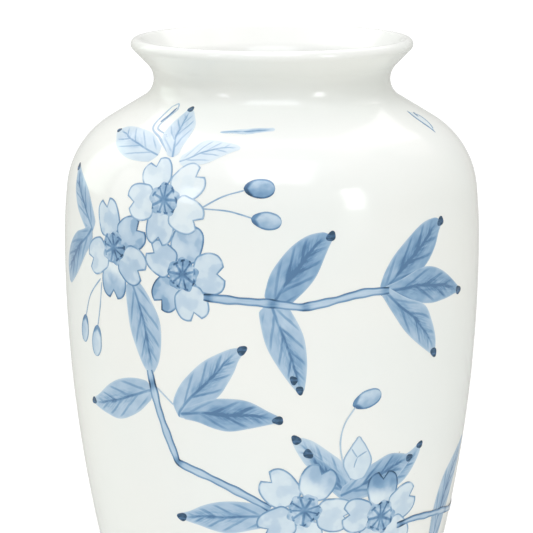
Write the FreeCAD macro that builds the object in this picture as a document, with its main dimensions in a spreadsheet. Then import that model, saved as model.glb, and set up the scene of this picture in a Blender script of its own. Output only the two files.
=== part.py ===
import FreeCAD, Part
import math
import os
import Sketcher

# Porcelain vase on a foot ring, 250 mm tall, with a narrow neck and a flared mouth.
# Every section through the axis is the same, so each solid is a turned one. The outline is a chain
# of circles that touch each other. Glaze, clay and hollow use the same circles at a greater depth
# below the finished surface, so their faces meet exactly.
# Units are millimetres. +Z is up, and the origin is on the axis in the plane the foot stands on.

SIZES = {
    # finished outside
    "height": 250.0,
    "mouth_radius": 59.6,
    "neck_radius": 50.0,
    "belly_radius": 88.0,
    "belly_level": 165.0,
    # circles of the outline, from the foot up: radius, then where the centre lies if it is free
    "foot_round": 250.0,
    "foot_round_level": 96.0,
    "body_round": 590.0,
    "shoulder_round": 37.0,
    "shoulder_reach": 50.0,
    "shoulder_level": 184.4,
    "neck_round": 9.0,
    "neck_level": 232.8,
    # thickness of the finished wall, with its glaze, and of the glaze alone
    "wall": 5.2,
    "glaze": 0.3,
    # floor of the hollow and the rounding between floor and wall
    "floor_level": 14.0,
    "floor_round": 16.0,
    # recess under the floor, inside the foot ring
    "recess_radius": 55.5,
    "recess_depth": 8.0,
    "recess_round": 2.5,
    # bare edge of the foot ring
    "foot_bevel": 1.4,
    "bare_foot": 2.4,
    # luted joints: upright thickness of the slip, then where each joint meets the outside
    "slip": 0.7,
    "foot_joint": 5.6,
    "foot_joint_radius": 64.0,
    "floor_joint": 17.0,
    "floor_joint_radius": 68.0,
    "belly_joint": 148.0,
    "belly_joint_radius": 88.0,
    "neck_joint": 223.4,
    "neck_joint_radius": 57.0,
    # slope of each joint: mm of height for one mm outwards
    "foot_slope": 0.15,
    "floor_slope": 0.5,
    "belly_slope": 0.6,
    "neck_slope": 1.3,
    # reach of the tools that divide the wall
    "tool_inside": 40.0,
    "tool_outside": 110.0,
    "headroom": 6.0,
}

# joint name -> 1 where its slope rises outwards, -1 where it falls
JOINTS = {"foot": 1, "floor": -1, "belly": -1, "neck": 1}


def make_sheet(doc):
    """Spreadsheet that holds the driving sizes, one alias to a row."""
    sheet = doc.addObject("Spreadsheet::Sheet", "dims")
    for row, (alias, value) in enumerate(SIZES.items(), start=1):
        sheet.set(f"A{row}", alias)
        sheet.set(f"B{row}", str(value))
        sheet.setAlias(f"B{row}", alias)
    return sheet


def at_angle(centre, radius, angle):
    """Point of a circle."""
    return (centre[0] + radius * math.cos(angle), centre[1] + radius * math.sin(angle))


def touching_line(convex, convex_radius, hollow, hollow_radius, side):
    """Angle of the outward normal of the line that touches two circles on opposite sides."""
    across = hollow[0] - convex[0]
    up = hollow[1] - convex[1]
    turn = math.acos(side * (convex_radius + hollow_radius) / math.hypot(across, up))
    return math.atan2(up, across) - turn


def outline(size):
    """Centres, radii and meeting angles of the circles, for the finished outer surface."""
    body = (size["belly_radius"] - size["body_round"], size["belly_level"])
    gap = size["body_round"] - size["foot_round"]
    foot_turn = math.asin((size["belly_level"] - size["foot_round_level"]) / gap)
    foot = (body[0] + gap * math.cos(foot_turn), size["foot_round_level"])
    shoulder = (size["shoulder_reach"], size["shoulder_level"])
    in_x = size["belly_radius"] - shoulder[0]
    up_z = shoulder[1] - size["belly_level"]
    small = size["shoulder_round"]
    upper_round = (in_x ** 2 + up_z ** 2 - small ** 2) / (2 * (in_x - small))
    upper = (size["belly_radius"] - upper_round, size["belly_level"])
    shoulder_turn = math.atan2(shoulder[1] - upper[1], shoulder[0] - upper[0])
    neck = (size["neck_radius"] + size["neck_round"], size["neck_level"])
    half_wall = size["wall"] / 2
    lip = (size["mouth_radius"] - half_wall, size["height"] - half_wall)
    slope_angle = touching_line(shoulder, small, neck, size["neck_round"], 1)
    flare_angle = touching_line(neck, size["neck_round"], lip, half_wall, -1)
    return {
        "foot": foot, "body": body, "upper": upper, "shoulder": shoulder, "neck": neck, "lip": lip,
        "upper_round": upper_round, "foot_turn": foot_turn, "shoulder_turn": shoulder_turn,
        "slope_angle": slope_angle, "flare_angle": flare_angle,
    }


def add_line(sketch, start, end):
    """Straight edge; returns its number in the sketch."""
    segment = Part.LineSegment(FreeCAD.Vector(*start, 0), FreeCAD.Vector(*end, 0))
    return sketch.addGeometry(segment)


def add_arc(sketch, centre, radius, start, end):
    """Arc that runs anticlockwise from one angle to the other; returns its number."""
    circle = Part.Circle(FreeCAD.Vector(*centre, 0), FreeCAD.Vector(0, 0, 1), radius)
    return sketch.addGeometry(Part.ArcOfCircle(circle, start, end))


def add_size(sketch, kind, *parts):
    """Dimension bound to the sheet: the last part is its expression, the one before its value."""
    *places, value, expression = parts
    number = sketch.addConstraint(Sketcher.Constraint(kind, *places, value))
    sketch.setExpression(f"Constraints[{number}]", expression)


def new_body(doc, name):
    """Body with a sketch on its XZ plane: sketch x is the radius and sketch y the height."""
    body = doc.addObject("PartDesign::Body", name)
    sketch = body.newObject("Sketcher::SketchObject", name + "_sketch")
    planes = [item for item in body.Origin.OriginFeatures if item.Role == "XZ_Plane"]
    sketch.AttachmentSupport = [(planes[0], "")]
    sketch.MapMode = "FlatFace"
    return body, sketch


def turn_body(body, sketch):
    """Full turn of a closed sketch about the vase's axis."""
    turned = body.newObject("PartDesign::Revolution", body.Name + "_turned")
    turned.Profile = sketch
    turned.ReferenceAxis = (sketch, ["V_Axis"])
    turned.Angle = 360
    body.Tip = turned
    sketch.Visibility = False
    return turned


def make_form(doc, name, size, depth, depth_rule, hollow):
    """
    Solid inside the outline at one depth below the finished surface.
    hollow is False for the outside, which ends on the ground, and True for the inside, which ends on
    the floor of the vase. Above the lip's crown every form carries the same short riser.
    """
    shape = outline(size)
    half_wall = size["wall"] / 2
    body, sketch = new_body(doc, name)
    foot_radius = size["foot_round"] - depth
    if hollow:
        lift = size["wall"] - depth
        ground = size["floor_level"] - lift
        corner_radius = size["floor_round"] + lift
        corner_level = ground + corner_radius
        reach = foot_radius - corner_radius
        corner_turn = math.asin((corner_level - shape["foot"][1]) / reach)
        corner = at_angle(shape["foot"], reach, corner_turn)
        foot_start = corner_turn
        base_end = (corner[0], ground)
    else:
        ground = 0.0
        foot_start = math.asin(-shape["foot"][1] / foot_radius)
        base_end = at_angle(shape["foot"], foot_radius, foot_start)
    crown = (shape["lip"][0], shape["lip"][1] + abs(half_wall - depth))
    top = size["height"] + size["headroom"]

    base = add_line(sketch, (0, ground), base_end)
    foot = add_arc(sketch, shape["foot"], foot_radius, foot_start, -shape["foot_turn"])
    wall = add_arc(sketch, shape["body"], size["body_round"] - depth, -shape["foot_turn"], 0)
    upper = add_arc(sketch, shape["upper"], shape["upper_round"] - depth, 0, shape["shoulder_turn"])
    shoulder = add_arc(
        sketch, shape["shoulder"], size["shoulder_round"] - depth,
        shape["shoulder_turn"], shape["slope_angle"])
    slope = add_line(
        sketch,
        at_angle(shape["shoulder"], size["shoulder_round"] - depth, shape["slope_angle"]),
        at_angle(shape["neck"], -size["neck_round"] - depth, shape["slope_angle"]))
    neck = add_arc(
        sketch, shape["neck"], size["neck_round"] + depth,
        shape["flare_angle"] + math.pi, shape["slope_angle"] + math.pi)
    flare = add_line(
        sketch,
        at_angle(shape["neck"], -size["neck_round"] - depth, shape["flare_angle"]),
        at_angle(shape["lip"], half_wall - depth, shape["flare_angle"]))
    if hollow:
        lip = add_arc(
            sketch, shape["lip"], depth - half_wall, math.pi / 2, shape["flare_angle"] + math.pi)
        lip_foot, lip_crown = 2, 1
        lip_rule = f"{depth_rule} - dims.wall / 2"
    else:
        lip = add_arc(sketch, shape["lip"], half_wall - depth, shape["flare_angle"], math.pi / 2)
        lip_foot, lip_crown = 1, 2
        lip_rule = f"dims.wall / 2 - ({depth_rule})"
    riser = add_line(sketch, crown, (crown[0], top))
    cap = add_line(sketch, (crown[0], top), (0, top))
    axis = add_line(sketch, (0, top), (0, ground))

    rules = [
        ("Tangent", foot, 2, wall, 1),
        ("Tangent", wall, 2, upper, 1),
        ("Tangent", upper, 2, shoulder, 1),
        ("Tangent", shoulder, 2, slope, 1),
        ("Tangent", slope, 2, neck, 2),
        ("Tangent", neck, 1, flare, 1),
        ("Tangent", flare, 2, lip, lip_foot),
        ("Coincident", lip, lip_crown, riser, 1),
        ("Coincident", riser, 2, cap, 1),
        ("Coincident", cap, 2, axis, 1),
        ("Coincident", axis, 2, base, 1),
        ("Vertical", lip, 3, lip, lip_crown),
        ("Vertical", riser),
        ("Horizontal", cap),
        ("Horizontal", base),
        ("PointOnObject", axis, 1, -2),
        ("PointOnObject", axis, 2, -2),
    ]
    if hollow:
        corner_arc = add_arc(sketch, corner, corner_radius, -math.pi / 2, corner_turn)
        rules.append(("Tangent", base, 2, corner_arc, 1))
        rules.append(("Tangent", corner_arc, 2, foot, 1))
    else:
        rules.append(("Coincident", base, 2, foot, 1))
        rules.append(("PointOnObject", base, 1, -1))
    for rule in rules:
        sketch.addConstraint(Sketcher.Constraint(*rule))
    if hollow:
        lift_rule = f"(dims.wall - ({depth_rule}))"
        add_size(sketch, "Radius", corner_arc, corner_radius, f"dims.floor_round + {lift_rule}")
        add_size(sketch, "DistanceY", -1, 1, base, 1, ground, f"dims.floor_level - {lift_rule}")
    add_size(sketch, "Radius", foot, foot_radius, f"dims.foot_round - ({depth_rule})")
    add_size(sketch, "DistanceY", -1, 1, foot, 3, shape["foot"][1], "dims.foot_round_level")
    add_size(sketch, "Radius", wall, size["body_round"] - depth, f"dims.body_round - ({depth_rule})")
    add_size(
        sketch, "DistanceX", wall, 3, -1, 1, -shape["body"][0],
        "dims.body_round - dims.belly_radius")
    add_size(sketch, "DistanceY", -1, 1, wall, 3, shape["body"][1], "dims.belly_level")
    add_size(sketch, "DistanceY", -1, 1, upper, 3, shape["upper"][1], "dims.belly_level")
    add_size(
        sketch, "Radius", shoulder, size["shoulder_round"] - depth,
        f"dims.shoulder_round - ({depth_rule})")
    add_size(sketch, "DistanceX", -1, 1, shoulder, 3, shape["shoulder"][0], "dims.shoulder_reach")
    add_size(sketch, "DistanceY", -1, 1, shoulder, 3, shape["shoulder"][1], "dims.shoulder_level")
    add_size(sketch, "Radius", neck, size["neck_round"] + depth, f"dims.neck_round + {depth_rule}")
    add_size(sketch, "DistanceX", -1, 1, neck, 3, shape["neck"][0], "dims.neck_radius + dims.neck_round")
    add_size(sketch, "DistanceY", -1, 1, neck, 3, shape["neck"][1], "dims.neck_level")
    add_size(sketch, "Radius", lip, abs(half_wall - depth), lip_rule)
    add_size(sketch, "DistanceX", -1, 1, lip, 3, shape["lip"][0], "dims.mouth_radius - dims.wall / 2")
    add_size(sketch, "DistanceY", -1, 1, lip, 3, shape["lip"][1], "dims.height - dims.wall / 2")
    add_size(sketch, "DistanceY", -1, 1, cap, 1, top, "dims.height + dims.headroom")
    turn_body(body, sketch)
    return body


def joint_height(size, joint, side, radius_name):
    """Height of one face of a joint's slip at a radius, as a value and as an expression."""
    rise = JOINTS[joint]
    away = size[radius_name] - size[joint + "_joint_radius"]
    value = size[joint + "_joint"] + side * size["slip"] / 2 + rise * away * size[joint + "_slope"]
    rule = (
        f"dims.{joint}_joint + {side} * dims.slip / 2"
        f" + {rise} * (dims.{radius_name} - dims.{joint}_joint_radius) * dims.{joint}_slope")
    return value, rule


def make_zone(doc, name, size, low, high, inside="tool_inside"):
    """
    Ring-shaped tool between two joint faces. low and high are (joint, side) pairs, where side -1 is
    the slip's lower face and 1 its upper face; None ends the tool flat, below the foot or above the
    mouth. inside None lets the tool reach the axis.
    """
    body, sketch = new_body(doc, name)
    outer = size["tool_outside"]
    inner = size[inside] if inside else 0.0
    ends = []
    for end, flat, flat_rule in (
            (low, -size["headroom"], "-dims.headroom"),
            (high, size["height"] + size["headroom"], "dims.height + dims.headroom")):
        for radius_name in (inside, "tool_outside"):
            if end is None:
                ends.append((flat, flat_rule))
            elif radius_name is None:
                joint = end[0]
                value, rule = joint_height(size, *end, "tool_outside")
                value -= JOINTS[joint] * outer * size[joint + "_slope"]
                rule += f" - {JOINTS[joint]} * dims.tool_outside * dims.{joint}_slope"
                ends.append((value, rule))
            else:
                ends.append(joint_height(size, *end, radius_name))
    corners = [(inner, ends[0][0]), (outer, ends[1][0]), (outer, ends[3][0]), (inner, ends[2][0])]
    sides = [add_line(sketch, corners[k], corners[(k + 1) % 4]) for k in range(4)]
    for k in range(4):
        sketch.addConstraint(Sketcher.Constraint("Coincident", sides[k], 2, sides[(k + 1) % 4], 1))
    sketch.addConstraint(Sketcher.Constraint("Vertical", sides[1]))
    if inside:
        sketch.addConstraint(Sketcher.Constraint("Vertical", sides[3]))
        add_size(sketch, "DistanceX", -1, 1, sides[3], 1, inner, f"dims.{inside}")
    else:
        sketch.addConstraint(Sketcher.Constraint("PointOnObject", sides[3], 1, -2))
        sketch.addConstraint(Sketcher.Constraint("PointOnObject", sides[3], 2, -2))
    add_size(sketch, "DistanceX", -1, 1, sides[1], 1, outer, "dims.tool_outside")
    for side, (value, rule) in zip((0, 1, 3, 2), ends):
        add_size(sketch, "DistanceY", -1, 1, sides[side], 1, value, rule)
    turn_body(body, sketch)
    return body


def make_recess(doc, name, size, depth, depth_rule):
    """Round recess under the floor, at a depth below its finished surface, with a rounded corner."""
    body, sketch = new_body(doc, name)
    radius = size["recess_radius"] + depth
    level = size["recess_depth"] + depth
    corners = [(0, -size["headroom"]), (radius, -size["headroom"]), (radius, level), (0, level)]
    sides = [add_line(sketch, corners[k], corners[(k + 1) % 4]) for k in range(4)]
    for k in range(4):
        sketch.addConstraint(Sketcher.Constraint("Coincident", sides[k], 2, sides[(k + 1) % 4], 1))
    for rule in (
            ("Horizontal", sides[0]), ("Vertical", sides[1]),
            ("Horizontal", sides[2]), ("Vertical", sides[3]),
            ("PointOnObject", sides[0], 1, -2)):
        sketch.addConstraint(Sketcher.Constraint(*rule))
    add_size(sketch, "DistanceX", sides[0], 1, sides[0], 2, radius, f"dims.recess_radius + {depth_rule}")
    add_size(sketch, "DistanceY", sides[0], 1, -1, 1, size["headroom"], "dims.headroom")
    add_size(sketch, "DistanceY", -1, 1, sides[2], 1, level, f"dims.recess_depth + {depth_rule}")
    turned = turn_body(body, sketch)
    doc.recompute()
    rounding = body.newObject("PartDesign::Fillet", name + "_rounding")
    rounding.Base = (turned, edges_at(turned.Shape, level))
    rounding.Radius = size["recess_round"] + depth
    rounding.setExpression("Radius", f"dims.recess_round + {depth_rule}")
    body.Tip = rounding
    return body


def edges_at(shape, level):
    """Names of the round edges that lie flat at a height."""
    names = []
    for number, edge in enumerate(shape.Edges, start=1):
        box = edge.BoundBox
        if abs(box.ZMin - level) < 1e-4 and abs(box.ZMax - level) < 1e-4:
            names.append(f"Edge{number}")
    return names


def combine(doc, kind, name, base, tool):
    """Cut or Common of two solids."""
    result = doc.addObject("Part::" + kind, name)
    result.Base = base
    result.Tool = tool
    result.Refine = True
    return result


def make_foot_ring(doc, clay, zone, size):
    """Foot ring: the lowest ring of clay, with both edges of its bare face bevelled."""
    blank = combine(doc, "Common", "foot_ring_blank", clay, zone)
    doc.recompute()
    ring = doc.addObject("Part::Chamfer", "foot_ring")
    ring.Base = blank
    bevel = size["foot_bevel"]
    ring.Edges = [(int(edge[4:]), bevel, bevel) for edge in edges_at(blank.Shape, 0.0)]
    return ring


def main():
    doc = FreeCAD.newDocument("vase")
    sheet = make_sheet(doc)
    doc.recompute()
    size = {alias: float(sheet.get(alias)) for alias in SIZES}

    # the four surfaces of the wall, from the outside in
    wall, glaze = size["wall"], size["glaze"]
    glazed = make_form(doc, "glazed_form", size, 0.0, "0", hollow=False)
    biscuit = make_form(doc, "biscuit_form", size, glaze, "dims.glaze", hollow=False)
    bare_hollow = make_form(doc, "bare_hollow", size, wall - glaze, "dims.wall - dims.glaze", hollow=True)
    hollow = make_form(doc, "hollow", size, wall, "dims.wall", hollow=True)
    recess = make_recess(doc, "recess", size, 0.0, "0")
    bare_recess = make_recess(doc, "bare_recess", size, glaze, "dims.glaze")
    doc.recompute()

    # all the clay, then the sections it was thrown in and the slip that joins them
    clay_shell = combine(doc, "Cut", "clay_shell", biscuit, bare_hollow)
    clay = combine(doc, "Cut", "clay", clay_shell, bare_recess)
    zones = {
        "foot_ring": (None, ("foot", -1), "tool_inside"),
        "foot_slip": (("foot", -1), ("foot", 1), "tool_inside"),
        "base_floor": (("foot", 1), ("floor", -1), None),
        "floor_slip": (("floor", -1), ("floor", 1), "tool_inside"),
        "lower_wall": (("floor", 1), ("belly", -1), "tool_inside"),
        "belly_slip": (("belly", -1), ("belly", 1), "tool_inside"),
        "upper_wall": (("belly", 1), ("neck", -1), "tool_inside"),
        "neck_slip": (("neck", -1), ("neck", 1), "tool_inside"),
        "neck_collar": (("neck", 1), None, "tool_inside"),
    }
    parts = {}
    for name, (low, high, inside) in zones.items():
        zone = make_zone(doc, name + "_zone", size, low, high, inside)
        if name == "foot_ring":
            parts[name] = make_foot_ring(doc, clay, zone, size)
        else:
            parts[name] = combine(doc, "Common", name, clay, zone)

    # glaze: a skin outside down to the bare foot, one inside, and one in the recess
    bare_band = doc.addObject("Part::Cylinder", "bare_band")
    bare_band.setExpression("Radius", "dims.tool_outside")
    bare_band.setExpression("Height", "dims.bare_foot + dims.headroom")
    bare_band.setExpression("Placement.Base.z", "-dims.headroom")
    outer_skin = combine(doc, "Cut", "outer_skin", glazed, biscuit)
    parts["outer_glaze"] = combine(doc, "Cut", "outer_glaze", outer_skin, bare_band)
    parts["inner_glaze"] = combine(doc, "Cut", "inner_glaze", bare_hollow, hollow)
    recess_skin = combine(doc, "Cut", "recess_skin", bare_recess, recess)
    parts["recess_glaze"] = combine(doc, "Cut", "recess_glaze", recess_skin, bare_band)
    doc.recompute()

    for item in doc.Objects:
        if "Invalid" in item.State or "Error" in item.State:
            raise RuntimeError(f"{item.Name} failed: {item.State}")
    os.makedirs("parts", exist_ok=True)
    for name, part in parts.items():
        shape = part.Shape
        if shape.isNull() or not shape.isValid() or len(shape.Solids) != 1:
            raise RuntimeError(f"{name} is not one valid solid")
        part.Label = name
        part.Placement = FreeCAD.Placement()
        box = shape.optimalBoundingBox(False)
        span = f"z {box.ZMin:7.2f} to {box.ZMax:7.2f}  r {box.XMax:6.2f}"
        print(f"{name:13s} {shape.Volume / 1000:8.2f} cm3  {span}")
        shape.exportStep(f"parts/{name}.step")


main()
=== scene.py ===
"""Looks of the porcelain vase: its glaze, its bare foot and the cobalt branches painted round it.

Lengths are in millimetres until a point goes into a mesh. A place on the painted surface is
(angle, height): degrees round the axis, 0 at the front and positive to the right, and millimetres
measured up the surface itself from the widest level of the body.
"""

import math

import bpy
import numpy as np
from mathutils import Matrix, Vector


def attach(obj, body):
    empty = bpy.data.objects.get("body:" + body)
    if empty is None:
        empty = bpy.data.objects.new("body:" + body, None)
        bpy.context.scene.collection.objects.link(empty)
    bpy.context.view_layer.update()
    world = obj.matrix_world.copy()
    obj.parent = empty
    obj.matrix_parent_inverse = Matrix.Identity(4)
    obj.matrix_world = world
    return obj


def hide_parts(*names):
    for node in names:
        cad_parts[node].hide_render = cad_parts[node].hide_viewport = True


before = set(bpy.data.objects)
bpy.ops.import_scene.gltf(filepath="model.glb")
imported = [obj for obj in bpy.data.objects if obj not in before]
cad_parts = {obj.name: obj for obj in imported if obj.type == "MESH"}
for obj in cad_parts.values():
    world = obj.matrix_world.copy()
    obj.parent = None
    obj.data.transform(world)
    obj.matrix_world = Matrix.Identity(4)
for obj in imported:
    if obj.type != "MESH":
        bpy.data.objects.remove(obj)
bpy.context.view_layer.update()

MM = 0.001

# ---------- sizes of the turned outline
BELLY_RADIUS = 88.0
BELLY_LEVEL = 165.0
BODY_ROUND = 590.0
FOOT_ROUND = 250.0
FOOT_ROUND_LEVEL = 96.0
SHOULDER_ROUND = 37.0
SHOULDER_REACH = 50.0
SHOULDER_LEVEL = 184.4
NECK_RADIUS = 50.0
NECK_ROUND = 9.0
NECK_LEVEL = 232.8
MOUTH_RADIUS = 59.6
HEIGHT = 250.0
WALL = 5.2
FLOOR_LEVEL = 14.0
FLOOR_ROUND = 16.0
BARE_FOOT = 2.4
SKIN = 0.2
LIP_ROUND = WALL / 2

# Circles of the outline: centre radius, centre height, size.
body_circle = (BELLY_RADIUS - BODY_ROUND, BELLY_LEVEL, BODY_ROUND)
foot_turn = -math.asin((BELLY_LEVEL - FOOT_ROUND_LEVEL) / (BODY_ROUND - FOOT_ROUND))
foot_circle = (
    body_circle[0] + (BODY_ROUND - FOOT_ROUND) * math.cos(foot_turn),
    FOOT_ROUND_LEVEL,
    FOOT_ROUND,
)
gap = BELLY_RADIUS - SHOULDER_REACH
rise = SHOULDER_LEVEL - BELLY_LEVEL
upper_round = (gap**2 + rise**2 - SHOULDER_ROUND**2) / (2 * (gap - SHOULDER_ROUND))
upper_circle = (BELLY_RADIUS - upper_round, BELLY_LEVEL, upper_round)
upper_turn = math.atan2(rise, SHOULDER_REACH - upper_circle[0])
shoulder_circle = (SHOULDER_REACH, SHOULDER_LEVEL, SHOULDER_ROUND)
neck_circle = (NECK_RADIUS + NECK_ROUND, NECK_LEVEL, NECK_ROUND)
lip_circle = (MOUTH_RADIUS - LIP_ROUND, HEIGHT - LIP_ROUND, LIP_ROUND)


def facing(first, second, reach, side):
    """The direction of a straight run between two circles, as the angle that it faces."""
    across = second[0] - first[0]
    up = second[1] - first[1]
    lean = math.acos(reach / math.hypot(across, up))
    return math.atan2(up, across) + side * lean


slope_turn = facing(shoulder_circle, neck_circle, SHOULDER_ROUND + NECK_ROUND, -1)
flare_turn = facing(neck_circle, lip_circle, -NECK_ROUND - LIP_ROUND, -1)


def arc(circle, start, end, count, depth=0.0, hollow=False):
    """Rows of (radius, height, facing angle) round a circle, at a depth below the surface."""
    size = -circle[2] if hollow else circle[2]
    reach = size - depth
    rows = []
    for i in range(count + 1):
        turn = start + (end - start) * i / count
        rows.append((circle[0] + reach * math.cos(turn), circle[1] + reach * math.sin(turn), turn))
    return rows


def straight(rows, following, count):
    """Rows between the last row so far and the first that follows."""
    last = rows[-1]
    first = following[0]
    added = []
    for i in range(1, count):
        share = i / count
        added.append(tuple(a + (b - a) * share for a, b in zip(last, first)))
    return rows + added + following


def wall_rows(depth, low, fine):
    """The wall's outline at a depth, from a low level up to the start of the lip."""
    start = math.asin((low - FOOT_ROUND_LEVEL) / (FOOT_ROUND - depth))
    rows = arc(foot_circle, start, foot_turn, int(6 * fine), depth)
    rows += arc(body_circle, foot_turn, 0.0, int(12 * fine), depth)[1:]
    rows += arc(upper_circle, 0.0, upper_turn, int(3 * fine), depth)[1:]
    rows += arc(shoulder_circle, upper_turn, slope_turn, int(12 * fine), depth)[1:]
    neck = arc(neck_circle, slope_turn, flare_turn, int(12 * fine), depth, hollow=True)
    return straight(rows, neck, int(4 * fine))


# ---------- the painted surface
chart_rows = np.array(wall_rows(0.0, 1.0, 10))
steps = np.hypot(np.diff(chart_rows[:, 0]), np.diff(chart_rows[:, 1]))
chart_height = np.concatenate([[0.0], np.cumsum(steps)])
chart_height -= np.interp(BELLY_LEVEL, chart_rows[:, 1], chart_height)


def radius_at(height):
    return float(np.interp(height, chart_height, chart_rows[:, 0]))


def surface(angle, height, lift):
    """Points and the directions that they face, on the outer surface or just above it."""
    radius = np.interp(height, chart_height, chart_rows[:, 0])
    level = np.interp(height, chart_height, chart_rows[:, 1])
    turn = np.interp(height, chart_height, chart_rows[:, 2])
    sine, cosine = np.sin(np.radians(angle)), np.cos(np.radians(angle))
    normal = np.stack([np.cos(turn) * sine, -np.cos(turn) * cosine, np.sin(turn)], axis=-1)
    point = np.stack([radius * sine, -radius * cosine, level], axis=-1)
    return (point + normal * np.asarray(lift)[..., None]) * MM, normal


# ---------- shader formulas
def feed(slot, value):
    """Join a node's socket to a Field, or set it to a value."""
    if isinstance(value, Field):
        value.tree.links.new(value.socket, slot)
    else:
        slot.default_value = value


def put(node, **values):
    """Feed a node's own sockets, with underscores for the spaces in their names."""
    for name, value in values.items():
        feed(node.inputs[name.replace("_", " ")], value)


class Field:
    """What the shader works out at each point, so that a formula can be written as plain sums."""

    def __init__(self, tree, socket):
        self.tree = tree
        self.socket = socket

    def math(self, kind, *others):
        node = self.tree.nodes.new("ShaderNodeMath")
        node.operation = kind
        for slot, value in zip(node.inputs, (self, *others)):
            feed(slot, value)
        return Field(self.tree, node.outputs[0])

    def __add__(self, other):
        return self.math("ADD", other)

    def __sub__(self, other):
        return self.math("SUBTRACT", other)

    def __mul__(self, other):
        return self.math("MULTIPLY", other)

    def __truediv__(self, other):
        return self.math("DIVIDE", other)

    def size(self):
        return self.math("ABSOLUTE")

    def least(self, other):
        return self.math("MINIMUM", other)

    def most(self, other):
        return self.math("MAXIMUM", other)

    def rise(self, low, high):
        """0 below low, 1 above high, and smooth between. Low may be the greater."""
        node = self.tree.nodes.new("ShaderNodeMapRange")
        node.interpolation_type = "SMOOTHSTEP"
        start, end = (1.0, 0.0) if low > high else (0.0, 1.0)
        put(node, Value=self, To_Min=start, To_Max=end)
        put(node, From_Min=min(low, high), From_Max=max(low, high))
        return Field(self.tree, node.outputs["Result"])


# Numbers kept at each point of a brush mark, in mm where they are lengths:
# run     how far along the mark the point is
# rib     how far it is from the mark's middle line, to the left
# reach   the length of the mark
# edge    how far in from the edge of the mark the point is
# tone    how dark the wash is
# blot    how much darker it is where the brush rested
# seed    a number from 0 to 1 of the mark's own
MARK_VALUES = ("run", "rib", "reach", "edge", "tone", "blot", "seed")


def mark_values(tree, names):
    """The numbers of a brush mark that a shader needs, for names with spaces between."""
    values = []
    for name in names.split():
        node = tree.nodes.new("ShaderNodeAttribute")
        node.attribute_name = name
        values.append(Field(tree, node.outputs["Fac"]))
    return values


def own_place(tree):
    return Field(tree, tree.nodes.new("ShaderNodeTexCoord").outputs["Object"])


def noise(tree, scale, detail=2.0, place=None, rough=0.5):
    """Noise from 0 to 1, over the object's own space or over a place made of three Fields."""
    node = tree.nodes.new("ShaderNodeTexNoise")
    if place is None:
        where = own_place(tree)
    else:
        joined = tree.nodes.new("ShaderNodeCombineXYZ")
        for slot, value in zip(joined.inputs, place):
            feed(slot, value)
        where = Field(tree, joined.outputs[0])
    put(node, Vector=where, Scale=scale, Detail=detail, Roughness=rough)
    return Field(tree, node.outputs["Fac"])


def linear(red, green, blue):
    """A screen colour from 0 to 255 as the linear colour that a shader takes."""
    channels = []
    for value in (red, green, blue):
        share = value / 255
        channels.append(share / 12.92 if share <= 0.04045 else ((share + 0.055) / 1.055) ** 2.4)
    return (*channels, 1.0)


def ramp(tree, factor, stops):
    """Colours along a factor. Each stop is (place, colour)."""
    node = tree.nodes.new("ShaderNodeValToRGB")
    band = node.color_ramp
    while len(band.elements) < len(stops):
        band.elements.new(0.5)
    for element, (place, colour) in zip(band.elements, stops):
        element.position = place
        element.color = colour
    put(node, Fac=factor)
    return Field(tree, node.outputs["Color"])


def new_material(name):
    material = bpy.data.materials.new(name)
    material.use_nodes = True
    material.node_tree.nodes.clear()
    tree = material.node_tree
    shader = tree.nodes.new("ShaderNodeBsdfPrincipled")
    output = tree.nodes.new("ShaderNodeOutputMaterial")
    tree.links.new(shader.outputs[0], output.inputs["Surface"])
    return material, tree, shader


def add_bump(tree, shader, height, distance):
    bump = tree.nodes.new("ShaderNodeBump")
    put(bump, Height=height, Distance=distance, Strength=1.0)
    put(shader, Normal=Field(tree, bump.outputs["Normal"]))


# The glaze's gloss, and the height of its faint waves in mm.
GLAZE_IOR = 1.52
GLAZE_ROUGHNESS = 0.11
GLAZE_WAVES = 0.1


def glossy_glaze(tree, shader, colour):
    """The fired glaze: a hard clear gloss that is very slightly uneven."""
    roughness = noise(tree, 60.0) * 0.05 + GLAZE_ROUGHNESS
    put(shader, Base_Color=colour, IOR=GLAZE_IOR, Roughness=roughness)
    waves = noise(tree, 32.0, 1.0) * 0.9 + noise(tree, 260.0, 1.0) * 0.05
    add_bump(tree, shader, waves, GLAZE_WAVES * MM)


# Whites and blues, as they are seen beside each other.
WHITE_COOL = linear(233, 236, 231)
WHITE_WARM = linear(236, 237, 231)
SPECK = linear(150, 142, 128)
COBALT = (
    (0.0, linear(232, 237, 234)),
    (0.1, linear(216, 228, 232)),
    (0.3, linear(176, 198, 215)),
    (0.5, linear(133, 166, 194)),
    (0.7, linear(99, 138, 173)),
    (0.85, linear(75, 111, 147)),
    (1.0, linear(45, 73, 97)),
)


def porcelain():
    """White glaze, clouded between two whites, with a rare faint speck."""
    material, tree, shader = new_material("white_glaze")
    cloud = noise(tree, 14.0, 2.0).rise(0.3, 0.7)
    white = ramp(tree, cloud, ((0.0, WHITE_COOL), (1.0, WHITE_WARM)))
    cells = tree.nodes.new("ShaderNodeTexVoronoi")
    put(cells, Scale=70.0, Vector=own_place(tree))
    near = Field(tree, cells.outputs["Distance"]).rise(0.035, 0.015)
    rare = noise(tree, 90.0, 0.0).rise(0.66, 0.7)
    mixed = tree.nodes.new("ShaderNodeMix")
    mixed.data_type = "RGBA"
    put(mixed, Factor=near * rare * 0.6, A=white, B=SPECK)
    glossy_glaze(tree, shader, Field(tree, mixed.outputs["Result"]))
    return material


def painted(name, ink_of):
    """A cobalt material under the same gloss. ink_of(tree) gives how dark the blue is, 0 to 1."""
    material, tree, shader = new_material(name)
    ink = ink_of(tree).most(0.0).least(1.0)
    glossy_glaze(tree, shader, ramp(tree, ink, COBALT))
    return material


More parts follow.
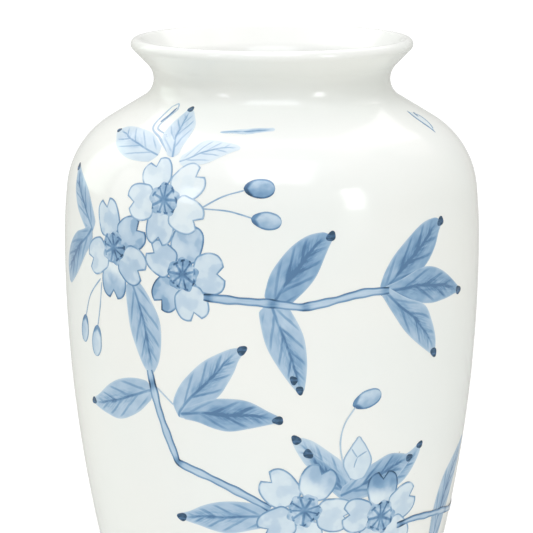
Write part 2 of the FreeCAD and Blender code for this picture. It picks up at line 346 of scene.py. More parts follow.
def brush_grain(tree, along, across):
    """Streaks of the brush, long in the direction of the mark."""
    run, rib, seed = mark_values(tree, "run rib seed")
    return noise(tree, 1.0, 3.0, (run / along, rib / across, seed), 0.6)


# A leaf's side veins: how many there are and how steeply they lean. Then its deepest blue.
VEINS = 4.1
VEIN_LEAN = 1.9
DARKEST_LEAF = 0.81


def leaf_ink(tree):
    """A streaky wash with a darker heart, a broken midrib and slanting side veins."""
    run, rib, seed, reach, edge, tone = mark_values(tree, "run rib seed reach edge tone")
    side = rib.size()
    share = run / reach
    pools = noise(tree, 1.0, 2.0, (run / 8.0, rib / 5.0, seed))
    lean = run - side * VEIN_LEAN
    streaks = noise(tree, 1.0, 3.0, (lean / 1.7, (run + side) / 9.0, seed), 0.6)
    long_streaks = brush_grain(tree, 7.0, 1.2)
    heart = side.rise(5.0, 0.5) * share.rise(0.15, 0.45) * share.rise(1.0, 0.7)
    wash = tone * (pools * 0.7 + 0.4)
    heart_streaks = streaks.rise(0.35, 0.65) * 0.38 + long_streaks.rise(0.4, 0.7) * 0.3
    wash = wash + heart * tone * heart_streaks
    wander = (pools - 0.5) * 2.2
    broken = long_streaks.rise(0.25, 0.5)
    thin = tone * 0.9 + 0.42
    midrib = ((rib + wander * share).size() / thin).rise(1.0, 0.25) * share.rise(0.97, 0.8) * broken
    spacing = reach / VEINS
    step = (lean + wander) / spacing + seed + rib.rise(-0.2, 0.2) * 0.45
    vein = ((step.math("FRACT") - 0.5).size() * spacing / thin).rise(1.9, 0.5)
    inside = edge.rise(0.3, 2.0) * share.rise(0.04, 0.16) * share.rise(0.95, 0.75)
    lines = midrib.most(vein * inside * (streaks * 0.9 + 0.25))
    soft = edge.rise(0.0, 0.9) * 0.22 + 0.78
    return ((wash + lines * 0.3) * soft).least(DARKEST_LEAF)


def petal_ink(tree):
    """A pale pooled wash inside a thin line that comes and goes, darker in the notch."""
    run, rib, seed, reach, edge, tone = mark_values(tree, "run rib seed reach edge tone")
    pools = noise(tree, 1.0, 2.0, (run / 8.0, rib / 7.0, seed))
    broken = noise(tree, 1.0, 1.0, (run / 4.5, rib / 4.0, seed))
    share = run / reach
    (blot,) = mark_values(tree, "blot")
    deep = blot * (share + pools * 0.3).rise(0.5, 1.0)
    wash = tone * (pools * 0.8 + 0.4) + deep * (pools * 0.5 + 0.7)
    pooled = (pools.rise(0.52, 0.6) - 0.5) * tone * 0.22
    weight = broken.rise(0.22, 0.5) * 0.24 + tone * 0.25 + 0.1
    outline = edge.rise(1.0, 0.3) * weight
    notch = edge.rise(0.9, 0.3) * share.rise(0.8, 0.9) * rib.size().rise(3.4, 2.0) * 0.42
    return wash + pooled + outline.most(notch)


def bud_ink(tree):
    """A wash that is darker on one side, a thin line round it and a dark calyx."""
    run, rib, seed, reach, edge, tone = mark_values(tree, "run rib seed reach edge tone")
    pools = noise(tree, 1.0, 2.0, (run / 4.0, rib / 3.0, seed))
    share = run / reach
    wash = tone * (pools * 0.8 + 0.35) + tone * (rib.rise(1.5, -2.5) * 0.4)
    outline = edge.rise(1.0, 0.35) * 0.3
    calyx = (share + edge * 0.09).rise(0.46, 0.26) * 0.44
    return wash + outline.most(calyx)


def young_leaf_ink(tree):
    """A pale wash with a thin line round it."""
    run, rib, seed, edge, tone = mark_values(tree, "run rib seed edge tone")
    pools = noise(tree, 1.0, 2.0, (run / 6.0, rib / 5.0, seed))
    return tone * (pools * 0.8 + 0.4) + edge.rise(1.0, 0.35) * 0.28


def stem_ink(tree):
    """One stroke of a fine brush."""
    (tone,) = mark_values(tree, "tone")
    return tone * (brush_grain(tree, 5.0, 1.5) * 0.9 + 0.55)


def branch_ink(tree):
    """A wash between two lines, the upper one darker, with blots where the brush rested."""
    edge, tone, blot, rib = mark_values(tree, "edge tone blot rib")
    streaks = brush_grain(tree, 9.0, 0.9)
    wash = tone * (streaks * 0.9 + 0.45)
    upper = rib.rise(-1.0, 1.0) * 0.14 + 0.38
    outline = edge.rise(1.05, 0.35) * (brush_grain(tree, 7.0, 4.0) * 0.7 + 0.5) * upper
    return wash + outline + blot * (streaks * 0.5 + 0.2)


# How many stamens a blossom shows.
STAMENS = 9


def hub_ink(tree):
    """The middle of a blossom: stamens with dark heads round a dark eye."""
    east, north, seed, reach, tone = mark_values(tree, "run rib seed reach tone")
    out = (east * east + north * north).math("SQRT")
    around = north.math("ARCTAN2", east)
    pools = noise(tree, 1.0, 3.0, (east / 3.5, north / 3.5, seed))
    wash = tone * (pools.rise(0.25, 0.75) * 0.8 + 0.5)
    turn = around * (STAMENS / 2) + seed * 9.0 + (around * 2.0 + seed * 4.0).math("SINE") * 0.5
    spoke = turn.math("SINE").size() * out * (2.0 / STAMENS)
    length = reach * ((around * 3.0 + seed * 5.0).math("SINE") * 0.09 + 0.84)
    past = out - length
    thread = spoke.rise(0.62, 0.22) * past.rise(0.3, -0.2) * 0.34
    head = spoke.rise(1.15, 0.75) * past.size().rise(0.65, 0.25) * (pools * 0.5 + 0.15)
    eye = out.rise(1.6, 0.5) * 0.25
    return wash + thread.most(head).most(eye)


# ---------- mesh pieces
def new_mesh(name, points, faces, material):
    mesh = bpy.data.meshes.new(name)
    mesh.from_pydata(points, [], faces)
    mesh.materials.append(material)
    return mesh


def new_object(name, data):
    made = bpy.data.objects.new(name, data)
    bpy.context.scene.collection.objects.link(made)
    return made


def finish_piece(name, mesh, normals):
    mesh.validate()
    mesh.polygons.foreach_set("use_smooth", [True] * len(mesh.polygons))
    mesh.normals_split_custom_set_from_vertices([Vector(n) for n in normals])
    piece = new_object(name, mesh)
    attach(piece, "root")
    return piece


# A radius below this, in mm, is a point on the axis.
AT_AXIS = 1e-6


def revolve(name, rows, segments, material):
    """A closed skin turned round the axis. Each row is (radius, height, facing angle)."""
    points, normals, rings, faces = [], [], [], []
    for radius, height, turn in rows:
        count = 1 if radius < AT_AXIS else segments
        rings.append((len(points), count))
        for i in range(count):
            around = 2 * math.pi * i / segments
            sine, cosine = math.sin(around), math.cos(around)
            points.append((radius * sine * MM, -radius * cosine * MM, height * MM))
            flat = 0.0 if count == 1 else math.cos(turn)
            normals.append((flat * sine, -flat * cosine, math.sin(turn)))
    for k, (start, count) in enumerate(rings):
        after, after_count = rings[(k + 1) % len(rings)]
        for i in range(segments):
            j = (i + 1) % segments
            if count == 1 and after_count == 1:
                continue
            if count == 1:
                faces.append((start, after + j, after + i))
            elif after_count == 1:
                faces.append((start + i, start + j, after))
            else:
                faces.append((start + i, start + j, after + j, after + i))
    mesh = new_mesh(name, points, faces, material)
    return finish_piece(name, mesh, normals)


def floor_rows(depth, count):
    """The inside of the floor, from its corner with the wall to the axis, and the corner's top."""
    level = FLOOR_LEVEL + FLOOR_ROUND
    reach = FOOT_ROUND - WALL - FLOOR_ROUND
    turn = math.asin((level - FOOT_ROUND_LEVEL) / reach)
    centre = foot_circle[0] + reach * math.cos(turn)
    corner = arc((centre, level, FLOOR_ROUND + depth), turn, -math.pi / 2, count)
    rows = [(r, z, a + math.pi) for r, z, a in corner]
    for share in (0.66, 0.33, 0.0):
        rows.append((centre * share, FLOOR_LEVEL - depth, math.pi / 2))
    return rows, FOOT_ROUND_LEVEL + (FOOT_ROUND - WALL + depth) * math.sin(turn)


def skin_rows(depth, fine):
    """The whole glazed outline at a depth: up the outside, over the lip and down to the axis."""
    outside = wall_rows(depth, BARE_FOOT + depth, fine)
    lip = (lip_circle[0], lip_circle[1], lip_circle[2] - depth)
    over = arc(lip, flare_turn, flare_turn + math.pi, int(8 * fine))
    floor, low = floor_rows(depth, int(6 * fine))
    inside = [(r, z, a + math.pi) for r, z, a in wall_rows(WALL - depth, low, fine)]
    inside.reverse()
    rows = straight(outside, over, int(2 * fine))
    rows = straight(rows, inside, int(2 * fine))
    return rows[:-1] + floor


# How far a patch of colour reaches below the surface, in mm, and the step between marks' seeds.
PATCH_UNDER = 0.05
SEED_STEP = 0.61803


class Painting:
    """One painted piece, built up from brush marks. Each mark is a thin closed patch of colour."""

    count = 0

    def __init__(self, name, material):
        self.name = name
        self.material = material
        self.points, self.normals, self.faces = [], [], []
        self.values = {key: [] for key in MARK_VALUES}

    def add(self, anchor, radius, flat, faces, border, lift, values):
        """flat holds (east, north) millimetres from the anchor, and values a number for each."""
        Painting.count += 1
        angle = anchor[0] + np.degrees(flat[:, 0] / radius)
        height = anchor[1] + flat[:, 1]
        start = len(self.points)
        size = len(flat)
        for above, way in ((lift, 1.0), (-PATCH_UNDER, -1.0)):
            place, normal = surface(angle, height, np.full(size, above))
            self.points += place.tolist()
            self.normals += (normal * way).tolist()
        self.faces += [tuple(start + i for i in face) for face in faces]
        self.faces += [tuple(start + size + i for i in reversed(face)) for face in faces]
        for i, a in enumerate(border):
            b = border[(i + 1) % len(border)]
            self.faces.append((start + a, start + size + a, start + size + b, start + b))
        seed = (Painting.count * SEED_STEP) % 1.0
        for key in MARK_VALUES:
            column = values.get(key, seed if key == "seed" else 0.0)
            column = np.broadcast_to(np.asarray(column, float), (size,))
            self.values[key] += column.tolist() * 2

    def make(self):
        mesh = new_mesh(self.name, self.points, self.faces, self.material)
        for key, numbers in self.values.items():
            mesh.attributes.new(key, "FLOAT", "POINT").data.foreach_set("value", numbers)
        finish_piece(self.name, mesh, self.normals)


def strip(rows, columns):
    """Faces and border of a grid of points, row by row."""
    faces = []
    for i in range(rows - 1):
        for j in range(columns - 1):
            a = i * columns + j
            faces.append((a, a + 1, a + columns + 1, a + columns))
    border = list(range(columns))
    border += [i * columns + columns - 1 for i in range(1, rows)]
    border += [(rows - 1) * columns + j for j in range(columns - 2, -1, -1)]
    border += [i * columns for i in range(rows - 2, 0, -1)]
    return faces, border


def fan(outline, centre, rings):
    """Points, faces and border of a shape filled by rings shrinking towards its centre."""
    count = len(outline)
    points = [centre + (outline - centre) * (1 - k / rings) for k in range(rings)]
    points = np.concatenate([*points, [centre]])
    faces = []
    for k in range(rings):
        for i in range(count):
            j = (i + 1) % count
            a, b = k * count + i, k * count + j
            if k == rings - 1:
                faces.append((a, b, len(points) - 1))
            else:
                faces.append((a, b, b + count, a + count))
    return points, faces, list(range(count))


def add_ribbon(piece, place, radius, line, side, half, run, columns, tone, lift, blot=0.0):
    """A mark of changing half width along a line, filled by a grid with so many columns."""
    rib = half[:, None] * np.linspace(1.0, -1.0, columns)[None, :]
    flat = line[:, None, :] + rib[..., None] * side[:, None, :]
    faces, border = strip(len(line), columns)
    values = {
        "run": np.repeat(run, columns),
        "rib": rib.ravel(),
        "reach": run[-1],
        "edge": (half[:, None] - np.abs(rib)).ravel(),
        "tone": tone,
        "blot": np.repeat(np.broadcast_to(blot, run.shape), columns),
    }
    piece.add(place, radius, flat.reshape(-1, 2), faces, border, lift, values)


def anticlockwise(outline):
    east, north = outline[:, 0], outline[:, 1]
    area = np.sum(east * np.roll(north, -1) - np.roll(east, -1) * north)
    return outline if area > 0 else outline[::-1]


def smooth_line(corners, spacing):
    """A curve through the corners, with points about a spacing apart."""
    corners = [np.array(c, float) for c in corners]
    padded = [2 * corners[0] - corners[1], *corners, 2 * corners[-1] - corners[-2]]
    line = []
    for a, b, c, d in zip(padded, padded[1:], padded[2:], padded[3:]):
        count = max(2, int(math.ceil(np.linalg.norm(c - b) / spacing)))
        for i in range(count):
            t = i / count
            square = (2 * a - 5 * b + 4 * c - d) * t**2
            cube = (3 * b - a - 3 * c + d) * t**3
            line.append(0.5 * (2 * b + (c - a) * t + square + cube))
    line.append(corners[-1])
    return np.array(line)


def flat_step(start, end):
    """(east, north) millimetres from one place on the surface to another."""
    radius = radius_at((start[1] + end[1]) / 2)
    return np.array([math.radians(end[0] - start[0]) * radius, end[1] - start[1]])


# A blade's half width at its tip in mm, and how wide it starts beside its first stated width.
TIP = 1.1
ROOT = 0.6
# The grid that fills a blade: mm between rows and between points of a side, and points across.
BLADE_STEP = 0.9
SIDE_STEP = 0.8
BLADE_COLUMNS = 13
# How a blade closes: the rounded share of its length at each end, and its least half width in mm.
BLADE_ROOT_END = 0.05
BLADE_TIP_END = 0.03
BLADE_LEAST = 0.15
# How fast the hand's wobble runs along a blade.
WOBBLES = 11


def blade_side(corners, reach, share):
    """How far out a side runs, as a smooth curve through (share of the length, mm out)."""
    if corners[0][0] > 0:
        corners = ((0.0, corners[0][1] * ROOT), *corners)
    line = smooth_line([(place * reach, out) for place, out in (*corners, (1.0, TIP))], SIDE_STEP)
    return np.interp(share * reach, line[:, 0], line[:, 1])


def add_blade(piece, base, tip, left, right, tone, lift, wobble=0.25):
    """A leaf or bud. Its left and right sides hold (share of the length, millimetres out)."""
    along = flat_step(base, tip)
    reach = float(np.linalg.norm(along))
    along = along / reach
    side = np.array([-along[1], along[0]])
    rows = int(math.ceil(reach / BLADE_STEP)) + 1
    share = (1 - np.cos(np.linspace(0.0, math.pi, rows))) / 2
    phase = Painting.count * 2.4
    ripple = wobble * np.sin(share * WOBBLES + phase) * np.sin(share * math.pi)
    out = blade_side(left, reach, share) + ripple
    inner = ripple * 0.6 * math.cos(phase) - blade_side(right, reach, share)
    middle = (out + inner) / 2
    root_end = np.clip(share / BLADE_ROOT_END, 0, 1)
    tip_end = np.clip((1 - share) / BLADE_TIP_END, 0, 1)
    half = np.maximum((out - inner) / 2 * np.sqrt(root_end * tip_end), BLADE_LEAST)
    run = share * reach
    line = run[:, None] * along + middle[:, None] * side
    sides = np.broadcast_to(side, line.shape)
    radius = radius_at((base[1] + tip[1]) / 2)
    add_ribbon(piece, base, radius, line, sides, half, run, BLADE_COLUMNS, tone, lift)
    return along


# Points round a dot, and how uneven its outline is.
DOT_POINTS = 22
DOT_UNEVEN = 0.1


def add_dot(piece, place, along, length, width, tone, lift):
    """A dark touch of the brush, drawn out along a direction."""
    side = np.array([-along[1], along[0]])
    outline = []
    for i in range(DOT_POINTS):
        turn = 2 * math.pi * i / DOT_POINTS
        pull = 1 + DOT_UNEVEN * math.sin(3 * turn + Painting.count)
        ahead = along * length * math.cos(turn)
        outline.append(ahead * pull + side * width * math.sin(turn) * pull)
    outline = anticlockwise(np.array(outline))
    flat, faces, border = fan(outline, np.zeros(2), 3)
    values = {"run": flat[:, 0], "rib": flat[:, 1], "tone": tone, "reach": 2 * length, "edge": 1.0}
    piece.add(place, radius_at(place[1]), flat, faces, border, lift, values)


# The grid that fills a stroke: mm between rows, and points across. Then half a blot's length in mm.
STROKE_STEP = 1.1
STROKE_COLUMNS = 7
BLOT_SPREAD = 2.0


def add_stroke(piece, corners, width, tone, lift, blots=(), taper=0.35):
    """A line of the brush through places. blots are (share of its length, strength)."""
    first = corners[0]
    radius = radius_at(float(np.mean([c[1] for c in corners])))
    flat_corners = [(math.radians(c[0] - first[0]) * radius, c[1] - first[1]) for c in corners]
    line = smooth_line(flat_corners, STROKE_STEP)
    tangent = np.gradient(line, axis=0)
    tangent /= np.linalg.norm(tangent, axis=1)[:, None]
    side = np.stack([-tangent[:, 1], tangent[:, 0]], axis=1)
    run = np.concatenate([[0.0], np.cumsum(np.linalg.norm(np.diff(line, axis=0), axis=1))])
    reach = run[-1]
    phase = Painting.count * 1.7
    ends = np.minimum(np.minimum(run, reach - run) / (1.5 * width), 1.0)
    half = width / 2 * (taper + (1 - taper) * np.sqrt(np.clip(ends, 0, 1)))
    half = half * (1 + 0.1 * np.sin(run / 3.1 + phase) + 0.06 * np.sin(run / 1.3))
    blot = np.zeros(len(run))
    for share, strength in blots:
        blot += strength * np.exp(-(((run - reach * share) / BLOT_SPREAD) ** 2))
    add_ribbon(piece, first, radius, line, side, half, run, STROKE_COLUMNS, tone, lift, blot)


# ---------- blossoms
# One side of a petal, from its notch to its root: (share of its length, share of half its width).
PETAL_SIDE = ((1.0, 0.33), (0.965, 0.62), (0.87, 0.88), (0.7, 1.0), (0.51, 0.97), (0.33, 0.78))
# Where the notch ends, where a side meets the root, and the middle, as shares of the length.
NOTCH = 0.84
PETAL_ROOT = 0.2
PETAL_MIDDLE = 0.56
PETAL_RINGS = 8


def petal_outline(reach, width):
    """A cherry petal pointing along the first axis, with a notch in its end."""
    notch = (NOTCH * reach, 0.0)
    corners = [(share * reach, side * width / 2) for share, side in PETAL_SIDE]
    tooth = np.array([notch, corners[0]])
    one = np.concatenate([tooth[:1], smooth_line([*corners, (PETAL_ROOT * reach, 0.0)], 1.0)])
    other = one[::-1] * np.array([1.0, -1.0])
    return np.concatenate([one, other[1:-1]])


def add_petal(piece, centre, lift, direction, reach, width, tone, deep=0.0):
    """One petal from a blossom's centre, drawn with a hand that is a little uneven."""
    outline = petal_outline(reach, width)
    phase = Painting.count * 1.3
    bulge = 1 + 0.035 * np.sin(np.arctan2(outline[:, 1], outline[:, 0] - reach / 2) * 3 + phase)
    middle = np.array([PETAL_MIDDLE * reach, 0.0])
    outline = anticlockwise(middle + (outline - middle) * bulge[:, None])
    flat, faces, border = fan(outline, middle, PETAL_RINGS)
    ends = np.roll(outline, -1, axis=0)
    edge = np.full(len(flat), 1e3)
    for start, end in zip(outline, ends):
        way = end - start
        share = np.clip(((flat - start) @ way) / (way @ way), 0, 1)
        edge = np.minimum(edge, np.linalg.norm(flat - start - share[:, None] * way, axis=1))
    turn = math.radians(direction)
    ahead = np.array([math.cos(turn), math.sin(turn)])
    side = np.array([-ahead[1], ahead[0]])
    placed = flat[:, :1] * ahead + flat[:, 1:] * side
    values = {"run": flat[:, 0], "rib": flat[:, 1], "reach": reach, "edge": edge}
    values.update(tone=tone, blot=deep)
    piece.add(centre, radius_at(centre[1]), placed, faces, border, lift, values)


HUB_POINTS = 60
HUB_RINGS = 7


def add_hub(piece, centre, size, tone, lift):
    """The round patch in a blossom's middle that carries the stamens."""
    turns = np.linspace(0, 2 * math.pi, HUB_POINTS, endpoint=False)
    phase = Painting.count * 0.9
    rim = size * (0.96 + 0.07 * np.cos(turns * 5 + phase) + 0.05 * np.sin(turns * 9 + phase))
    outline = np.stack([rim * np.cos(turns), rim * np.sin(turns)], axis=1)
    flat, faces, border = fan(outline, np.zeros(2), HUB_RINGS)
    values = {"run": flat[:, 0], "rib": flat[:, 1], "reach": size, "edge": 1.0, "tone": tone}
    piece.add(centre, radius_at(centre[1]), flat, faces, border, lift, values)


# How much higher one petal lies than the one before, and the hub above them all, in mm.
PETAL_ABOVE = 0.012
HUB_ABOVE = 0.045


def blossom(name, centre, lift, *petals, hub=7.0, tone=0.42):
    """petals are (direction in degrees from the right, length, width, tone, depth of its end)."""
    piece = Painting(name, PETAL)
    for i, petal in enumerate(petals):
        add_petal(piece, centre, lift + PETAL_ABOVE * (i % 3), *petal)
    piece.make()
    heart = Painting(name + "_stamens", HUB)
    add_hub(heart, centre, hub, tone, lift + HUB_ABOVE)
    heart.make()


def flat_back(place, along, distance):
    """The place a short distance back against a direction on the surface."""
    turned = math.degrees(along[0] * distance / radius_at(place[1]))
    return (place[0] - turned, place[1] - along[1] * distance)


# A leaf's dot in mm: its half length and half width, how far back from the tip and how far above.
DOT_LENGTH = 2.3
DOT_WIDTH = 1.8
DOT_BACK = 0.6
DOT_ABOVE = 0.04
DOT_TONE = 0.95


def leaf(name, base, tip, left, right, tone, dots=None, lift=0.045, dot=1.0):
    """A leaf of one wash, with one dot at its tip unless the dots' places are given."""
    piece = Painting(name, LEAF)
    along = add_blade(piece, base, tip, left, right, tone, lift)
    piece.make()
    if dots is None:
        dots = (flat_back(tip, along, DOT_BACK),)
    if dots:
        touch = Painting(name + "_tip", DARK)
        for place in dots:
            size = (DOT_LENGTH * dot, DOT_WIDTH * dot)
            add_dot(touch, place, along, *size, DOT_TONE, lift + DOT_ABOVE)
        touch.make()


# The lines of a young leaf's vein, as (share of its length, share of its length to the left).
FORKED_VEIN = (
    ((0.28, 0.045), (0.52, -0.01)),
    ((0.52, -0.01), (0.72, 0.145)),
    ((0.52, -0.01), (0.655, -0.22)),
)
VEIN_BEND = 0.01
VEIN_WIDTH = 0.6
VEIN_TONE = 0.42
VEIN_ABOVE = 0.02


def outlined_leaf(name, base, tip, left, right, tone, lift=0.06, forked=True):
    """A young leaf drawn with a thin line round a pale wash, with a forked vein."""
    piece = Painting(name, BUD_LEAF)
    add_blade(piece, base, tip, left, right, tone, lift)
    piece.make()
    if not forked:
        return
    veins = Painting(name + "_veins", DARK)
    middle = flat_step(base, tip)
    for start, end in FORKED_VEIN:
        places = []
        middle_point = ((start[0] + end[0]) / 2, (start[1] + end[1]) / 2 + VEIN_BEND)
        for share, aside in (start, middle_point, end):
            step = middle * share + np.array([-middle[1], middle[0]]) * aside
            turned = math.degrees(step[0] / radius_at(base[1]))
            places.append((base[0] + turned, base[1] + step[1]))
        add_stroke(veins, places, VEIN_WIDTH, VEIN_TONE, lift + VEIN_ABOVE)
    veins.make()


def branch(name, corners, width, tone, blots=(), lift=0.1):
    """A branch of even width through places on the surface."""
    piece = Painting(name, BRANCH)
    add_stroke(piece, corners, width, tone, lift, blots, taper=0.9)
    piece.make()


def stem(name, corners, width=0.62, tone=0.42, lift=0.06):
    """One thin line through places on the surface."""
    piece = Painting(name, DARK)
    add_stroke(piece, corners, width, tone, lift)
    piece.make()


# A bud's side: (share of its length, share of half its width).
BUD_SIDE = ((0.0, 0.24), (0.16, 0.66), (0.4, 0.94), (0.62, 1.0), (0.82, 0.84), (0.94, 0.55))


def bud(name, base, tip, half, tone, lift=0.08):
    """A closed bud: pointed where the stem comes in, round at its end, with a dark calyx."""
    piece = Painting(name, BUD)
    side = [(share, out * half) for share, out in BUD_SIDE]
    add_blade(piece, base, tip, side, side, tone, lift, wobble=0.1)
    piece.make()


PORCELAIN = porcelain()
LEAF = painted("cobalt_leaf_wash", leaf_ink)
PETAL = painted("cobalt_petal_wash", petal_ink)
HUB = painted("cobalt_stamens", hub_ink)
BRANCH = painted("cobalt_branch_wash", branch_ink)
BUD = painted("cobalt_bud_wash", bud_ink)
BUD_LEAF = painted("cobalt_young_leaf", young_leaf_ink)
DARK = painted("cobalt_brush_line", stem_ink)

# ---------- the glazed skin
# How finely the outline is divided outside and underneath, and the divisions round the axis.
OUTER_FINE = 2.2
UNDER_FINE = 1.0
SKIN_SEGMENTS = 320

outer_rows = skin_rows(0.0, OUTER_FINE)
under_rows = skin_rows(SKIN, UNDER_FINE)
under_rows.reverse()
under_rows = [(r, z, a + math.pi) for r, z, a in under_rows]
skin = revolve("glazed_skin", outer_rows + under_rows, SKIN_SEGMENTS, PORCELAIN)
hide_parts("outer_glaze", "inner_glaze")

# A leaf is its name, base, tip, left side, right side and tone. A side holds (share of the leaf's
# length, mm out from the line between its base and tip).

# ---------- upper spray
# The three leaves on the left shoulder have low tones. These are partly the leaves' own pale wash
# and partly painted highlight: the glare of the lights over the shoulder is painted into their
# wash, as well as lit by the lamps.
leaf(
    "leaf_shoulder_far_left", (-36.5, 45), (-63, 55),
    ((0.17, 5.2), (0.42, 7), (0.67, 5.4), (0.85, 3)),
    ((0.17, 6.3), (0.38, 8.2), (0.69, 7.1), (0.9, 4.5)),
    0.24, dot=0.65,
)
leaf(
    "leaf_shoulder_left", (-31, 45), (-37.5, 74.5),
    ((0.17, 3.4), (0.41, 6.8), (0.62, 6.4), (0.84, 3.5)),
    ((0.16, 3.4), (0.33, 5.2), (0.6, 6.4), (0.85, 3.6)),
    0.26, dot=0.8, lift=0.065,
)
leaf(
    "leaf_shoulder_middle", (-28, 42.5), (-10, 51.5),
    ((0.16, 4.8), (0.39, 8.3), (0.6, 7.8), (0.83, 4.3)),
    ((0.17, 2.6), (0.41, 3.4), (0.66, 2.4), (0.84, 1.4)),
    0.15, dots=(), lift=0.085,
)
leaf(
    "leaf_neck_thin", (-18.5, 60.5), (1, 63),
    ((0.25, 1), (0.5, 1.6), (0.8, 1.1)),
    ((0.25, 1.3), (0.5, 2), (0.8, 1.3)),
    0.24, dots=(),
)
outlined_leaf(
    "leaf_shoulder_right", (67.8, 52.7), (68.6, 67.1),
    ((0.2, 0.3), (0.57, 0.3), (0.8, 0.6), (0.95, 0.3)),
    ((0.1, 1.2), (0.26, 3.6), (0.49, 5.5), (0.72, 6.1), (0.87, 4.1), (0.96, 1.4)),
    0.08, forked=False,
)
stem(
    "fold_right_near", ((68.8, 67.6), (67.8, 63.5), (67.6, 58), (67.9, 52.2)),
    width=0.9, tone=0.62, lift=0.09,
)
stem(
    "fold_right_far", ((73.2, 64.4), (73.6, 61.4), (72.3, 58), (69.6, 54.5)),
    width=0.7, tone=0.5, lift=0.09,
)
stem("fold_right_tip", ((72.6, 65.6), (71.6, 64.6), (71, 62.8)), width=1.3, tone=0.7, lift=0.12)
stem("fold_left", ((-31.5, 45), (-39.5, 54), (-47.5, 61), (-49, 75)), width=0.95, tone=0.36)
stem("fold_right", ((-33, 47.5), (-38, 56), (-45, 61), (-44, 73.5)), width=0.85, tone=0.34)
stem("fold_end", ((-46.2, 64), (-45.4, 68.5), (-45.4, 74)), width=1.1, tone=0.72, lift=0.08)
stem("fold_tip", ((-48.8, 74.4), (-46.5, 76.4), (-44.2, 73)), width=0.7, tone=0.34, lift=0.1)
leaf(
    "leaf_left_rising", (-57.5, 9.5), (-73, 34.2),
    ((0.23, 4.9), (0.47, 5.4), (0.71, 4.3), (0.88, 1.8)),
    ((0.05, 4.3), (0.23, 6.1), (0.46, 7), (0.71, 5)),
    0.44, dot=0.8,
)
leaf(
    "leaf_left_hanging", (-58, 10.5), (-75, -14.8),
    ((0.15, 4.2), (0.43, 5), (0.67, 4.8), (0.86, 4), (0.96, 2.6)),
    ((0.15, 4.1), (0.36, 7.8), (0.64, 9.2), (0.85, 7.4), (0.95, 4.4)),
    0.53, dots=(), lift=0.065,
)
leaf(
    "leaf_under_blossoms", (-41.5, -8), (-35, -46.5),
    ((0.05, 5.4), (0.21, 8.6), (0.45, 10.6), (0.67, 9.5), (0.87, 5.8)),
    ((0.07, 3.1), (0.24, 4.2), (0.55, 5), (0.82, 3.5)),
    0.45, dots=(),
)
leaf(
    "leaf_fork_one_up", (-0.5, -15.5), (16, 13.5),
    ((0, 3.6), (0.12, 6.4), (0.31, 9.3), (0.56, 10.3), (0.81, 7.9), (0.95, 4.2)),
    ((0, 4.4), (0.23, 5.8), (0.44, 6.2), (0.62, 5.3), (0.86, 2.4)),
    0.64,
)
leaf(
    "leaf_fork_one_down", (-0.7, -13.6), (8, -51.5),
    ((0, 5.4), (0.12, 6.8), (0.31, 7.9), (0.51, 8.2), (0.69, 6.7), (0.85, 4)),
    ((0, 4), (0.08, 5.6), (0.24, 6.7), (0.43, 7.1), (0.62, 6), (0.85, 3.4)),
    0.48, dots=((7.5, -50.2), (5.8, -45.9)), lift=0.065, dot=0.85,
)
leaf(
    "leaf_fork_two_up", (30.2, -12.4), (52.5, 15),
    ((0, 1.6), (0.08, 4.2), (0.18, 6.3), (0.34, 8.2), (0.55, 9), (0.78, 7.6), (0.93, 4.4)),
    ((0, 2), (0.2, 5), (0.41, 6.4), (0.6, 6.8), (0.77, 5.1), (0.9, 2.3)),
    0.64,
)
leaf(
    "leaf_fork_two_out", (30.2, -11), (62, -16),
    ((0, 1.6), (0.17, 4.8), (0.38, 9.3), (0.54, 10.4), (0.7, 8.7), (0.9, 3.7)),
    ((0, 1.6), (0.18, 2.9), (0.54, 4.8), (0.74, 3.6), (0.91, 1.5)),
    0.63, lift=0.065,
)
leaf(
    "leaf_fork_two_down", (30.2, -9.6), (50.5, -40.2),
    ((0, 1.8), (0.15, 3.6), (0.31, 5.9), (0.53, 9.6), (0.72, 8.3), (0.88, 5.4)),
    ((0, 1.4), (0.1, 2.2), (0.28, 3.6), (0.5, 4.6), (0.7, 4), (0.9, 2.3)),
    0.51, lift=0.085,
)
branch(
    "branch_upper",
    (
        (-18.4, -12), (-8.5, -13), (-0.2, -13.9), (6.8, -15.4),
        (9.4, -15.3), (16, -13.5), (24.7, -11), (32.8, -10.8),
    ),
    3.5, 0.34, blots=((0.02, 0.8), (0.36, 0.7), (0.53, 0.7), (0.98, 0.5)),
)

blossom(
    "blossom_left", (-47.5, 4.5), 0.11,
    (108, 20.4, 14, 0.28), (33, 18.8, 15.5, 0.46), (-30, 19.6, 15.5, 0.3),
    (-91, 21.4, 14.5, 0.1, 0.38), (203, 18.7, 15, 0.22),
    tone=0.48,
)
blossom(
    "blossom_right", (-24.4, -3.3), 0.06,
    (81, 20.4, 14.5, 0.39), (4, 18.4, 17, 0.26), (-72, 19.6, 14.5, 0.24),
    (-131, 17.9, 14.5, 0.42, 0.1), (149, 18.6, 14.5, 0.29),
    tone=0.49,
)
blossom(
    "blossom_top", (-30.5, 26.6), 0.16,
    (118, 18.6, 14.5, 0.15), (38, 20.3, 15, 0.09), (-29, 18.8, 15.5, 0.13),
    (-97, 18.7, 13.5, 0.26), (188, 18.4, 15.5, 0.21),
    tone=0.38,
)

stem("stem_bud_high", ((-19.5, 24), (-15, 28), (-12, 30), (-7.5, 32)))
bud("bud_high", (-7.8, 32.8), (0.8, 32.8), 4.1, 0.52)
stem("stem_bud_low", ((-19.5, 24), (-12.5, 23.5), (-8.5, 22.2), (-5, 20.6)))
bud("bud_low", (-5.6, 20.6), (2.5, 19), 3.7, 0.36)
stem("stem_bud_left", ((-53.5, -9.5), (-59, -17.5), (-62.2, -27)))
bud("bud_left", (-62.2, -26.5), (-64.3, -38.5), 3.4, 0.3)
stem("stem_bud_left_inner", ((-53, -11), (-54, -20.5), (-55.8, -30.5)))
bud("bud_left_inner", (-55.7, -29.5), (-57.6, -43), 3.8, 0.24)

